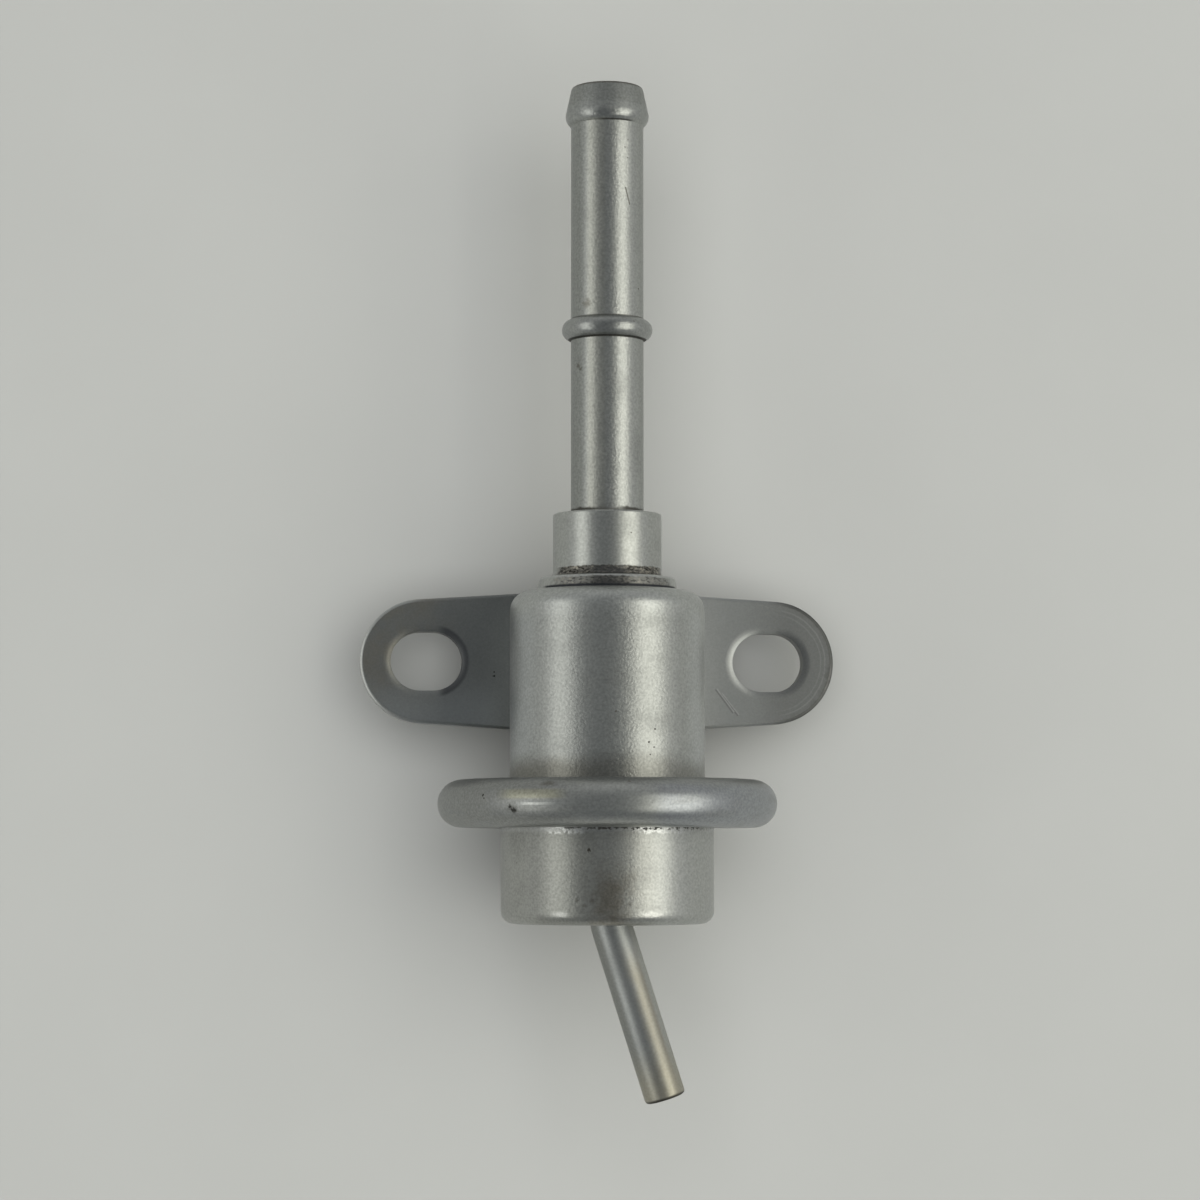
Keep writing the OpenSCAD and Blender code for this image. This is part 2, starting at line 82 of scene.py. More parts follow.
def rounded(corners, cuts=10):
    """The points of a half section drawn as (radius, along, fillet) corners, in millimetres."""
    points = []
    for i, corner in enumerate(corners):
        at = Vector(corner[:2])
        fillet = corner[2] if len(corner) > 2 else 0
        if not fillet:
            points.append(at)
            continue
        back = (Vector(corners[i - 1][:2]) - at).normalized()
        on = (Vector(corners[(i + 1) % len(corners)][:2]) - at).normalized()
        half = acos(max(-1.0, min(1.0, back.dot(on)))) / 2
        middle = at + (back + on).normalized() * fillet / sin(half)
        first = at + back * fillet / tan(half) - middle
        last = at + on * fillet / tan(half) - middle
        sweep = atan2(first.x * last.y - first.y * last.x, first.dot(last))
        for cut in range(cuts + 1):
            turn = sweep * cut / cuts
            points.append(middle + Vector((first.x * cos(turn) - first.y * sin(turn),
                                           first.x * sin(turn) + first.y * cos(turn))))
    return points


def start_point(name):
    """A new piece in edit mode, with one vertex at the origin."""
    bpy.ops.object.select_all(action="DESELECT")
    bpy.ops.mesh.primitive_plane_add(size=MM)
    piece = bpy.context.object
    piece.name = piece.data.name = name
    bpy.ops.object.mode_set(mode="EDIT")
    bpy.ops.mesh.select_all(action="SELECT")
    bpy.ops.mesh.merge(type="CENTER")
    return piece


def draw_line(points):
    """Draws a line on from the selected vertex, which stands at the origin."""
    last = Vector((0, 0, 0))
    for i, point in enumerate(points):
        if i == 0:
            bpy.ops.transform.translate(value=point)
        else:
            bpy.ops.mesh.extrude_vertices_move(TRANSFORM_OT_translate={"value": point - last})
        last = point


def close_up():
    """Welds the mesh in hand, turns its faces outwards and leaves edit mode."""
    bpy.ops.mesh.select_all(action="SELECT")
    bpy.ops.mesh.remove_doubles(threshold=WELD)
    bpy.ops.mesh.normals_make_consistent(inside=False)
    bpy.ops.object.mode_set(mode="OBJECT")


def turned(name, corners, segments=160, upright=False, closed=True):
    """A piece turned from its half section, round the regulator's axis or upright round the inlet's."""
    piece = start_point(name)
    section = [Vector((r, 0, along)) * MM if upright else Vector((r * MM, along * MM, AXIS_H))
               for r, along in rounded(corners)]
    draw_line(section + section[:1] if closed else section)
    bpy.ops.mesh.select_all(action="SELECT")
    bpy.ops.mesh.remove_doubles(threshold=WELD)
    bpy.ops.mesh.spin(steps=segments, angle=2 * pi, center=(0, 0, 0) if upright else (0, 0, AXIS_H),
                      axis=(0, 0, 1) if upright else (0, 1, 0))
    close_up()
    return piece


def take(piece):
    """Makes a piece the only one selected."""
    bpy.ops.object.select_all(action="DESELECT")
    bpy.context.view_layer.objects.active = piece
    piece.select_set(True)


def apply_modifier(piece, kind, **settings):
    """Adds a modifier with its settings and applies it."""
    modifier = piece.modifiers.new(kind.lower(), kind)
    for key, value in settings.items():
        setattr(modifier, key, value)
    take(piece)
    bpy.ops.object.modifier_apply(modifier=modifier.name)


def drill(piece, radius, depth, place, turn=(0, 0, 0)):
    """Cuts a round hole; place is its middle."""
    bpy.ops.object.select_all(action="DESELECT")
    bpy.ops.mesh.primitive_cylinder_add(vertices=128, radius=radius, depth=depth, location=place, rotation=turn)
    cutter = bpy.context.object
    apply_modifier(piece, "BOOLEAN", operation="DIFFERENCE", solver="EXACT", object=cutter)
    bpy.data.objects.remove(cutter)


def smooth(piece, angle=32):
    """Shades a piece smooth across all edges flatter than the angle."""
    take(piece)
    bpy.ops.object.shade_smooth_by_angle(angle=radians(angle))


class Finish:
    """A surface built up in coats: each lays its colour and roughness where its mask is 1.

    Places and sizes are in millimetres, as they are on the piece.
    """

    def __init__(self, name, colour, roughness, metallic=1.0):
        self.material = bpy.data.materials.new(name)
        self.material.use_nodes = True
        self.tree = self.material.node_tree
        self.shader = self.tree.nodes["Principled BSDF"]
        self.shader.inputs["Metallic"].default_value = metallic
        metres = self.node("ShaderNodeTexCoord").outputs["Object"]
        self.place = self.vector("MULTIPLY", metres, (1 / MM, 1 / MM, 1 / MM))
        split = self.node("ShaderNodeSeparateXYZ", {"Vector": self.place})
        self.across, self.along, self.up = split.outputs["X"], split.outputs["Y"], split.outputs["Z"]
        off_axis = self.vector("MULTIPLY", self.vector("SUBTRACT", self.place, (0, 0, AXIS_H / MM)), (1, 0, 1))
        self.radius = self.node("ShaderNodeVectorMath", {0: off_axis}, operation="LENGTH").outputs["Value"]
        self.colour, self.roughness = colour, roughness
        self.grain, self.grain_depth, self.mottle = None, 0, 0

    def node(self, kind, inputs=None, **settings):
        """A new node, with its settings and with values or links on its inputs."""
        made = self.tree.nodes.new(kind)
        for key, value in settings.items():
            setattr(made, key, value)
        for key, value in (inputs or {}).items():
            self.put(value, made.inputs[key])
        return made

    def put(self, value, socket):
        """Links another node's output to a socket, or sets a plain value on it."""
        if isinstance(value, bpy.types.NodeSocket):
            self.tree.links.new(value, socket)
        elif socket.type == "RGBA" and len(value) == 3:
            socket.default_value = (*value, 1)
        else:
            socket.default_value = value

    def vector(self, operation, a, b):
        return self.node("ShaderNodeVectorMath", {0: a, 1: b}, operation=operation).outputs["Vector"]

    def math(self, operation, a, b=0):
        return self.node("ShaderNodeMath", {0: a, 1: b}, operation=operation).outputs["Value"]

    def noise(self, size, detail=3, distort=0.0, stretch=(1, 1, 1)):
        """Grains of about that size; their values lie round 0.5."""
        place = self.place if stretch == (1, 1, 1) else self.vector("MULTIPLY", self.place, stretch)
        return self.node("ShaderNodeTexNoise", {"Vector": place, "Scale": 1 / size, "Detail": detail,
                                                "Distortion": distort}).outputs["Fac"]

    def ragged(self, value, size, reach):
        """The same value, moved to and fro by noise, so that an edge drawn with it is uneven."""
        return self.math("ADD", value, self.math("MULTIPLY", self.math("SUBTRACT", self.noise(size, 4), 0.5), reach))

    def ramp(self, value, low, high):
        """0 at low and 1 at high, smooth between them; low may be the larger one."""
        return self.node("ShaderNodeMapRange", {"Value": value, "From Min": low, "From Max": high},
                         interpolation_type="SMOOTHSTEP").outputs["Result"]

    def band(self, value, low, high, soft):
        """1 between low and high, with soft ends."""
        return self.math("MULTIPLY", self.ramp(value, low - soft, low), self.ramp(value, high + soft, high))

    def both(self, *masks):
        """1 only where all the masks are; a plain number weakens them."""
        made = masks[0]
        for mask in masks[1:]:
            made = self.math("MULTIPLY", made, mask)
        return made

    def away(self, point, flat=1):
        """The distance from a point, counted flat times along the regulator's axis."""
        off = self.vector("MULTIPLY", self.vector("SUBTRACT", self.place, point), (1, flat, 1))
        return self.node("ShaderNodeVectorMath", {0: off}, operation="LENGTH").outputs["Value"]

    def spot(self, point, size, soft=0.45, flat=1):
        """1 round a point, with a ragged edge."""
        return self.ramp(self.ragged(self.away(point, flat), size * 0.7, size * 1.6), size, size * (1 - soft))

    def line(self, start, end, width):
        """1 along a straight scratch."""
        way = end - start
        off = self.vector("SUBTRACT", self.place, start)
        on = self.node("ShaderNodeVectorMath", {0: off, 1: way / way.length_squared}, operation="DOT_PRODUCT")
        on = self.node("ShaderNodeClamp", {"Value": on.outputs["Value"]}).outputs["Result"]
        foot = self.node("ShaderNodeVectorMath", {0: way, "Scale": on}, operation="SCALE").outputs["Vector"]
        away = self.node("ShaderNodeVectorMath", {0: off, 1: foot}, operation="DISTANCE").outputs["Value"]
        return self.ramp(away, width, width * 0.4)

    def coat(self, mask, colour=None, roughness=None):
        """Lays a colour, a roughness or both over what is there, where the mask is 1."""
        if colour is not None:
            mix = self.node("ShaderNodeMix", {0: mask, 6: self.colour, 7: colour}, data_type="RGBA")
            self.colour = mix.outputs[2]
        if roughness is not None:
            mix = self.node("ShaderNodeMix", {0: mask, 2: self.roughness, 3: roughness}, data_type="FLOAT")
            self.roughness = mix.outputs[0]

    def marks(self, colour, roughness, places, soft=0.45, flat=1, strength=1):
        """Spots, each given as its place and size."""
        for x, y, z, size in places:
            spot = self.spot(Vector((x, y, z)), size, soft, flat)
            self.coat(self.both(spot, strength), colour, roughness)

    def done(self):
        """The material, with the coats, the mottle and the grain's relief put on its shader."""
        colour = self.colour
        if self.mottle:
            shade = self.node("ShaderNodeMapRange", {"Value": self.grain, "From Min": 0.3, "From Max": 0.7,
                                                     "To Min": 1 - self.mottle, "To Max": 1 + self.mottle})
            colour = self.vector("MULTIPLY", colour, shade.outputs["Result"])
        self.put(colour, self.shader.inputs["Base Color"])
        self.put(self.roughness, self.shader.inputs["Roughness"])
        if self.grain is not None:
            bump = self.node("ShaderNodeBump", {"Height": self.grain, "Distance": self.grain_depth})
            self.put(bump.outputs["Normal"], self.shader.inputs["Normal"])
        return self.material


def zinc(name, colour=(0.40, 0.41, 0.395), roughness=0.37, grain=0.27, depth=0.02, contrast=1.0):
    """Blasted steel under thin zinc: satin, finely mottled, a little cloudy, with a few dark specks."""
    finish = Finish(name, colour, roughness)
    finish.mottle = 0.15 * contrast
    finish.grain, finish.grain_depth = finish.noise(grain, detail=2), depth * MM
    dull = tuple(c * (1 - finish.mottle) for c in colour)
    finish.coat(finish.ramp(finish.noise(4.5, detail=4), 0.45, 0.75), dull, roughness + 0.06 * contrast)
    finish.coat(finish.ramp(finish.noise(0.55, detail=1), 0.80, 0.86), SPECK, 0.6)
    return finish


def fit(piece, node, finish, body="housing"):
    """Gives a piece its finish and puts it in the place of its CAD node."""
    piece.data.materials.append(finish.done())
    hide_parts(node)
    if body:
        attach(piece, body)


upper_case = turned("upper_case_shell", UPPER_CASE, segments=192)
bpy.ops.object.mode_set(mode="EDIT")
bpy.ops.mesh.select_all(action="DESELECT")
bpy.ops.object.mode_set(mode="OBJECT")
for vertex in upper_case.data.vertices:
    out = Vector((vertex.co.x, vertex.co.z - AXIS_H)).length / MM
    along = vertex.co.y / MM
    vertex.select = LIP_RADII[0] < out < LIP_RADII[1] and LIP_ALONG[0] < along < LIP_ALONG[1]
bpy.ops.object.mode_set(mode="EDIT")
bpy.ops.transform.vertex_random(offset=LIP_UNEVEN * MM, seed=4)
bpy.ops.object.mode_set(mode="OBJECT")
drill(upper_case, INLET_SHANK_R * MM, AXIS_H, (0, 0, AXIS_H / 2))
smooth(upper_case)

case_zinc = zinc("case_zinc")
case_zinc.grain_depth = case_zinc.both(case_zinc.ramp(case_zinc.radius, 14.0, 11.0), 0.026 * MM)
rim = case_zinc.ramp(case_zinc.radius, 11.4, 13.0)
rim_front = case_zinc.both(rim, case_zinc.ramp(case_zinc.up, 20, 22))
left_rim_shade = case_zinc.both(rim, case_zinc.ramp(case_zinc.across, -3, -8))
right_rim_shade = case_zinc.both(rim, case_zinc.ramp(case_zinc.across, 2, 5))
case_zinc.coat(case_zinc.both(rim, 0.65), (0.405, 0.415, 0.40))
case_zinc.coat(rim, roughness=0.35)
# Painted shade: the rim's left side is darker; its right side is darker and bluer, a painted cool reflection.
case_zinc.coat(left_rim_shade, (0.29, 0.297, 0.287), 0.40)
case_zinc.coat(right_rim_shade, (0.34, 0.355, 0.37))
body = case_zinc.ramp(case_zinc.radius, 11.2, 10.8)
# Painted light: the body's two flanks and its shoulder are lighter than the rest of the body.
right_flank_light = case_zinc.both(body, case_zinc.ramp(case_zinc.across, 7.0, 9.6))
left_flank_light = case_zinc.both(body, case_zinc.ramp(case_zinc.across, -7.4, -9.6))
crown_light = case_zinc.both(body, case_zinc.ramp(case_zinc.along, 3.2, 5.5))
case_zinc.coat(right_flank_light, (0.49, 0.505, 0.50))
case_zinc.coat(left_flank_light, (0.43, 0.445, 0.445))
case_zinc.coat(crown_light, (0.45, 0.463, 0.45))
swirls = case_zinc.ramp(case_zinc.noise(1.2, stretch=(0.3, 1.5, 0.3)), 0.45, 0.7)
case_zinc.coat(case_zinc.both(rim, swirls, 0.5), (0.30, 0.31, 0.31), 0.43)
rim_top = case_zinc.both(rim, case_zinc.ramp(case_zinc.along, -14.7, -13.9), 0.8)
case_zinc.coat(rim_top, (0.30, 0.307, 0.30))
# Painted highlight: a thin, lighter and glossier streak on the rim's left front.
painted_glint = case_zinc.both(rim_front, case_zinc.band(case_zinc.along, -16.38, -16.24, 0.12),
                        case_zinc.band(case_zinc.across, -9.9, -6.6, 1.2))
case_zinc.coat(painted_glint, (0.40, 0.41, 0.40), 0.29)
# Painted warm reflection: a soft yellowish patch on the rim's left front, next to the painted highlight.
warm_tint_and_sheen = case_zinc.both(rim_front, case_zinc.band(case_zinc.along, -15.55, -15.0, 0.4),
                          case_zinc.band(case_zinc.across, -11.3, -7.5, 2), 0.55)
case_zinc.coat(warm_tint_and_sheen, (0.42, 0.41, 0.30))
stain = case_zinc.both(case_zinc.ramp(case_zinc.ragged(case_zinc.along, 4.5, 3), -10.3, -12.9),
                       case_zinc.ramp(case_zinc.radius, 11.2, 10.75))
more_on_left = case_zinc.math("ADD", 0.65, case_zinc.both(case_zinc.ramp(case_zinc.across, 1, -5), 0.24))
case_zinc.coat(case_zinc.both(stain, more_on_left), (0.21, 0.207, 0.185))
lip_dirt = case_zinc.both(case_zinc.ramp(case_zinc.ragged(case_zinc.radius, 0.3, 0.5), 12.3, 12.1),
                          case_zinc.ramp(case_zinc.noise(0.45, detail=4), 0.42, 0.58),
                          case_zinc.ramp(case_zinc.along, -18.3, -18.5),
                          case_zinc.band(case_zinc.across, -4.0, 8.0, 3), 0.85)
case_zinc.coat(lip_dirt, GRIME, 0.6)
case_zinc.marks((0.17, 0.165, 0.15), 0.45, [(-7.7, -14.25, 28.7, 1.2)], soft=0.9, flat=2.5, strength=0.8)
case_zinc.marks((0.20, 0.19, 0.17), 0.45, [(0.55, -14.0, 30.1, 0.25)], soft=0.8)
case_zinc.marks((0.17, 0.17, 0.16), 0.5, [(-11.4, -16.8, 27.05, 0.85)], soft=0.9, strength=0.7)
case_zinc.marks((0.06, 0.06, 0.055), 0.55, [(-11.55, -16.6, 27.0, 0.30), (-11.25, -16.98, 27.15, 0.40)], soft=0.7)
case_zinc.marks(GRIME, 0.6, [
    (-14.28, -15.36, 24.29, 0.18), (-14.2, -15.7, 24.5, 0.11),
    (3.46, -9.68, 22.77, 0.13), (4.02, -10.21, 22.56, 0.11), (4.13, -8.29, 22.52, 0.13), (3.6, -11.0, 22.72, 0.10),
])
fit(upper_case, "upper_case", case_zinc)


# Lower case: a second drawn cup of the same sheet, a little wider than the body. Its flange is held
# inside the rolled rim, and the vacuum pipe is brazed through its bottom.
LOWER_CASE = [
    (0, -29.1), (11.6, -29.1, 1.4), (11.6, -17.5), (15.8, -17.5, 0.1), (15.8, -16.3, 0.1),
    (10.4, -16.3, 1.2), (10.4, -27.9, 0.2), (0, -27.9),
]
VAC_R = 2.25
VAC_HOLE_R = VAC_R + 0.05
VAC_HOLE_DEPTH = 6
VAC_HOLE = Vector((0.32, -28.5))
VAC_HOLE_LEAN = radians(8.5)

lower_case = turned("lower_case_shell", LOWER_CASE, segments=192, closed=False)
drill(lower_case, VAC_HOLE_R * MM, VAC_HOLE_DEPTH * MM, Vector((VAC_HOLE.x * MM, VAC_HOLE.y * MM, AXIS_H)),
      (pi / 2, 0, VAC_HOLE_LEAN))
smooth(lower_case)

cup_zinc = zinc("cup_zinc", colour=(0.39, 0.395, 0.375))
# Painted shade on the cup's left highlight strip, and painted light on its right side.
cup_zinc.coat(cup_zinc.band(cup_zinc.across, -7.5, -3.5, 2), (0.315, 0.32, 0.30))
cup_zinc.coat(cup_zinc.ramp(cup_zinc.across, 2.5, 5.5), (0.435, 0.445, 0.43))
cup_zinc.coat(cup_zinc.ramp(cup_zinc.along, -19.4, -18.9), (0.45, 0.455, 0.445), 0.33)
bits = cup_zinc.noise(0.4, detail=4)
# Painted highlights: bright, glossy bits along the cup's top edge, where the two highlight strips cross it.
glint_band = cup_zinc.both(cup_zinc.band(cup_zinc.along, -19.25, -18.7, 0.3), cup_zinc.ramp(bits, 0.56, 0.44))
for left, right in ((-6.6, -4.2), (2.8, 6.6)):
    sparkle = cup_zinc.both(glint_band, cup_zinc.band(cup_zinc.across, left, right, 1.2))
    cup_zinc.coat(sparkle, (0.55, 0.56, 0.55), 0.30)
crevice = cup_zinc.both(cup_zinc.ramp(cup_zinc.ragged(cup_zinc.along, 0.3, 1.1), -19.02, -18.82),
                        cup_zinc.ramp(bits, 0.42, 0.56), cup_zinc.band(cup_zinc.across, -4.5, 8.5, 2.5), 0.85)
cup_zinc.coat(crevice, (0.05, 0.047, 0.042), 0.65)
# Painted highlights: two lighter, glossier spots on the cup's bottom fillet.
cup_zinc.marks((0.46, 0.465, 0.45), 0.31, [(-5.9, -27.95, 22.35, 1.6), (3.6, -27.95, 23.3, 2.4)], soft=0.9, flat=3)
# Painted dark reflection, tinted brown: a soft patch along the middle of the cup's face.
cup_zinc.marks((0.25, 0.235, 0.20), None, [(-0.7, -25.8, 24.3, 3.4), (-0.9, -28.2, 23.6, 2.6)],
               soft=1, flat=0.8, strength=0.95)
cup_zinc.marks((0.13, 0.125, 0.11), 0.5, [
    (-4.3, -26.4, 23.5, 0.36), (-3.5, -27.0, 23.75, 0.34), (-2.7, -26.5, 23.95, 0.40), (1.3, -26.8, 24.2, 0.36),
    (-10.24, -22.5, 18.1, 0.15), (-9.9, -21.0, 18.6, 0.14),
], soft=1, strength=0.65)
cup_zinc.marks((0.09, 0.085, 0.075), 0.6, [(-3.05, -21.13, 23.88, 0.24)])
fit(lower_case, "lower_case", cup_zinc)


# Pipe boss: a turned steel collar with a flared base. It is brazed through the top of the upper case,
# and burnt flux has left dark, mottled residue round its foot.
PIPE_BOSS = [
    (3.4, 4.5, 0.1), (5.0, 4.5, 0.15), (5.0, 7.1), (7.75, 7.1, 0.12), (7.4, 8.55, 0.4), (5.95, 8.55, 0.7),
    (5.95, 15.6, 0.25), (4.0, 15.6, 0.1), (4.0, 8.6), (2.6, 8.6, 0.1), (2.6, 7.6), (3.4, 7.6),
]

pipe_boss = turned("pipe_boss_collar", PIPE_BOSS)
smooth(pipe_boss)

boss_zinc = zinc("boss_zinc", colour=(0.42, 0.43, 0.412), roughness=0.35, depth=0.012)
flare_top = boss_zinc.both(boss_zinc.ramp(boss_zinc.along, 8.2, 8.4), boss_zinc.ramp(boss_zinc.radius, 6.6, 6.9))
boss_zinc.coat(flare_top, (0.47, 0.48, 0.47), 0.36)
off_side = boss_zinc.math("ABSOLUTE", boss_zinc.math("SUBTRACT", boss_zinc.up, AXIS_H / MM))
off_side = boss_zinc.ragged(off_side, 1.2, 2.5)
edge = boss_zinc.ragged(boss_zinc.along, 0.5, 0.4)
middle = boss_zinc.band(boss_zinc.across, -1.5, 0.8, 1.4)
collar_foot = boss_zinc.both(boss_zinc.ramp(edge, 9.62, 9.46), boss_zinc.ramp(boss_zinc.radius, 6.65, 6.45),
                             boss_zinc.ramp(off_side, 1.2, 3.2), 0.9)
base_side = boss_zinc.both(boss_zinc.ramp(edge, 8.35, 8.15), boss_zinc.ramp(boss_zinc.radius, 6.9, 7.1),
                           boss_zinc.ramp(off_side, 3.6, 5.6),
                           boss_zinc.math("ADD", 0.55, boss_zinc.both(middle, 0.4)))
flecks = boss_zinc.noise(0.5, detail=4, distort=0.6, stretch=(1, 1.9, 1))
for soot in (collar_foot, base_side):
    boss_zinc.coat(soot, (0.125, 0.118, 0.105), 0.5)
    boss_zinc.coat(boss_zinc.both(soot, boss_zinc.ramp(flecks, 0.47, 0.39)), (0.035, 0.033, 0.03), 0.6)
    boss_zinc.coat(boss_zinc.both(soot, boss_zinc.ramp(flecks, 0.55, 0.63)), (0.36, 0.34, 0.29), 0.45)
    boss_zinc.coat(boss_zinc.both(soot, middle, 0.7), (0.10, 0.102, 0.104), 0.5)
seam = boss_zinc.both(boss_zinc.ramp(boss_zinc.along, 7.54, 7.36), boss_zinc.ramp(off_side, 2, 4))
boss_zinc.coat(seam, (0.05, 0.053, 0.058), 0.55)
boss_zinc.marks((0.12, 0.115, 0.10), 0.5, [(2.05, 13.1, 18.28, 0.10)])
fit(pipe_boss, "pipe_boss", boss_zinc)


# Return pipe: an 8 mm steel pipe, brazed in the boss. Its hose-stop bead is upset from the wall, and
# its mouth is rolled to a tapered bead that the hose is pushed over.
PIPE_R = 4.0
PIPE_BORE_R = 3.2
PIPE_FOOT = 8.6
COLLAR_TOP = 15.6
STOP_BEAD = Vector((3.85, 35.98))
STOP_BEAD_R = 1.15
FOLD_R = 0.45
MOUTH_CREST = Vector((3.3, 59.85))
MOUTH_CREST_R = 1.3
MOUTH_EDGE = Vector((3.6, 62.7))
MOUTH_EDGE_R = 0.4

CREASE_SHADE = (0.07, 0.068, 0.06)
PIPE_SPECK = (0.13, 0.12, 0.10)


def arc(middle, radius, start, end, cuts=14):
    """Points of a half section round a middle, from one angle to another."""
    turns = [radians(start + (end - start) * i / cuts) for i in range(cuts + 1)]
    return [(middle.x + radius * cos(turn), middle.y + radius * sin(turn)) for turn in turns]


bead_foot = degrees(acos((PIPE_R - STOP_BEAD.x) / STOP_BEAD_R))
crest_foot = degrees(acos((PIPE_R - MOUTH_CREST.x) / MOUTH_CREST_R))
to_edge = MOUTH_EDGE - MOUTH_CREST
taper = degrees(atan2(to_edge.y, to_edge.x) - acos((MOUTH_CREST_R - MOUTH_EDGE_R) / to_edge.length))
RETURN_PIPE = [
    (PIPE_BORE_R, PIPE_FOOT, 0.1), (PIPE_R, PIPE_FOOT, 0.2),
    *arc(STOP_BEAD, STOP_BEAD_R, -bead_foot, bead_foot),
    *arc(MOUTH_CREST, MOUTH_CREST_R, -crest_foot, taper),
    *arc(MOUTH_EDGE, MOUTH_EDGE_R, taper, 180),
    (PIPE_BORE_R, STOP_BEAD.y + FOLD_R), *arc(STOP_BEAD, FOLD_R, 90, -90), (PIPE_BORE_R, STOP_BEAD.y - FOLD_R),
]

return_pipe = turned("return_pipe_tube", RETURN_PIPE, segments=128)
smooth(return_pipe)

pipe_zinc = zinc("pipe_zinc", depth=0.03)
# Painted shade on both flanks of the pipe, and a painted warm reflection on its left highlight strip.
pipe_zinc.coat(pipe_zinc.ramp(pipe_zinc.across, -2.4, -3.3), (0.315, 0.325, 0.31))
pipe_zinc.coat(pipe_zinc.ramp(pipe_zinc.across, 3.0, 3.7), (0.335, 0.345, 0.33))
pipe_zinc.coat(pipe_zinc.band(pipe_zinc.across, -2.2, -0.9, 0.6), (0.40, 0.405, 0.375))
beads = pipe_zinc.ramp(pipe_zinc.radius, 4.15, 4.4)
mouth_crest = pipe_zinc.ramp(pipe_zinc.along, 59.5, 60.1)
mouth_taper = pipe_zinc.ramp(pipe_zinc.along, 60.4, 61.2)
mouth_foot = pipe_zinc.band(pipe_zinc.along, 59.0, 59.4, 0.3)
mouth_end = pipe_zinc.ramp(pipe_zinc.along, 62.75, 62.95)
pipe_zinc.coat(beads, (0.345, 0.355, 0.345), 0.32)
pipe_zinc.coat(mouth_crest, roughness=0.46)
# Painted shade: the mouth's taper is darker.
pipe_zinc.coat(mouth_taper, (0.305, 0.315, 0.302))
pipe_zinc.coat(mouth_foot, roughness=0.30)
joint = pipe_zinc.ramp(pipe_zinc.ragged(pipe_zinc.along, 1.1, 0.6), COLLAR_TOP + 0.62, COLLAR_TOP + 0.32)
less_in_middle = pipe_zinc.both(pipe_zinc.band(pipe_zinc.across, -1.2, 1.0, 0.9), 0.45)
joint_dirt = pipe_zinc.both(joint, pipe_zinc.math("SUBTRACT", 0.9, less_in_middle))
pipe_zinc.coat(joint_dirt, (0.085, 0.08, 0.07), 0.6)
# Painted shade in the two creases of the stop bead.
for crease, half_width, dark in ((34.84, 0.06, 0.9), (37.13, 0.07, 0.6)):
    bead_crease = pipe_zinc.band(pipe_zinc.along, crease - half_width, crease + half_width, 0.07)
    pipe_zinc.coat(pipe_zinc.both(bead_crease, dark), CREASE_SHADE, 0.6)
# Painted shade in the mouth bead's crease, on its front.
mouth_crease = pipe_zinc.both(pipe_zinc.band(pipe_zinc.along, 58.75, 58.85, 0.07),
                              pipe_zinc.band(pipe_zinc.across, -0.6, 1.8, 1.2), 0.75)
pipe_zinc.coat(mouth_crease, CREASE_SHADE, 0.6)
pipe_zinc.coat(mouth_end, (0.17, 0.165, 0.15), 0.5)
scratch = pipe_zinc.line(Vector((1.66, 51.25, 16.33)), Vector((2.12, 49.5, 16.08)), 0.12)
pipe_zinc.coat(pipe_zinc.both(scratch, 0.75), (0.14, 0.135, 0.115), 0.55)
pipe_zinc.marks(PIPE_SPECK, 0.55, [
    (1.6, 55.76, 16.35, 0.10), (1.95, 56.6, 16.2, 0.08), (1.9, 54.6, 16.2, 0.08), (2.5, 36.4, 16.9, 0.10),
    (3.2, 40.3, 15.1, 0.12),
])
pipe_zinc.marks((0.17, 0.155, 0.125), 0.5, [(-2.6, 38.5, 15.7, 0.8)], soft=1, strength=0.55)
pipe_zinc.marks(PIPE_SPECK, 0.5, [(-3.4, 31.75, 14.81, 0.42), (-3.2, 31.35, 15.1, 0.32)], soft=0.8, strength=0.8)
fit(return_pipe, "return_pipe", pipe_zinc)


# Mounting bracket: a 2.3 mm steel plate, blanked and pierced in one stroke, so that its outline and
# its two bolt slots have soft, rolled edges on the face that the punch met. The case is brazed to it.
PLATE_T = 2.3
SLOT_AT = 19.3
SLOT_R = 3.3
SLOT_RUN = 0.725
EAR_AT = 19.8
EAR_R = 6.95
HUB_R = 8.2
BODY_R = 10.65
SADDLE_CUT = 40
SHANK_CUT = 10
SLOT_ROLL = (1.1, 0.18, 3)
OUTLINE_ROLL = (0.38, 0.17, 2)
PUNCH_H = 2
OVERSHOOT = 0.002
SCRATCH_LIT_SIDE = Vector((0.14, 0.1, 0))


def hull_of(name, rounds, low, high, corners=128):
    """A flat plate whose outline runs round several discs, given as (place along X, radius)."""
    bpy.ops.object.select_all(action="DESELECT")
    for i, (x, radius) in enumerate(rounds):
        bpy.ops.mesh.primitive_cylinder_add(vertices=corners, radius=radius * MM, depth=(high - low) * MM,
                                            location=(x * MM, 0, (low + high) / 2 * MM))
        if i == 0:
            piece = bpy.context.object
            bpy.ops.object.transform_apply(location=True)
            bpy.ops.object.mode_set(mode="EDIT")
    bpy.ops.mesh.select_all(action="SELECT")
    bpy.ops.mesh.convex_hull()
    bpy.ops.mesh.select_all(action="SELECT")
    bpy.ops.mesh.dissolve_limited(angle_limit=radians(0.2))
    bpy.ops.object.mode_set(mode="OBJECT")
    piece.name = piece.data.name = name
    return piece


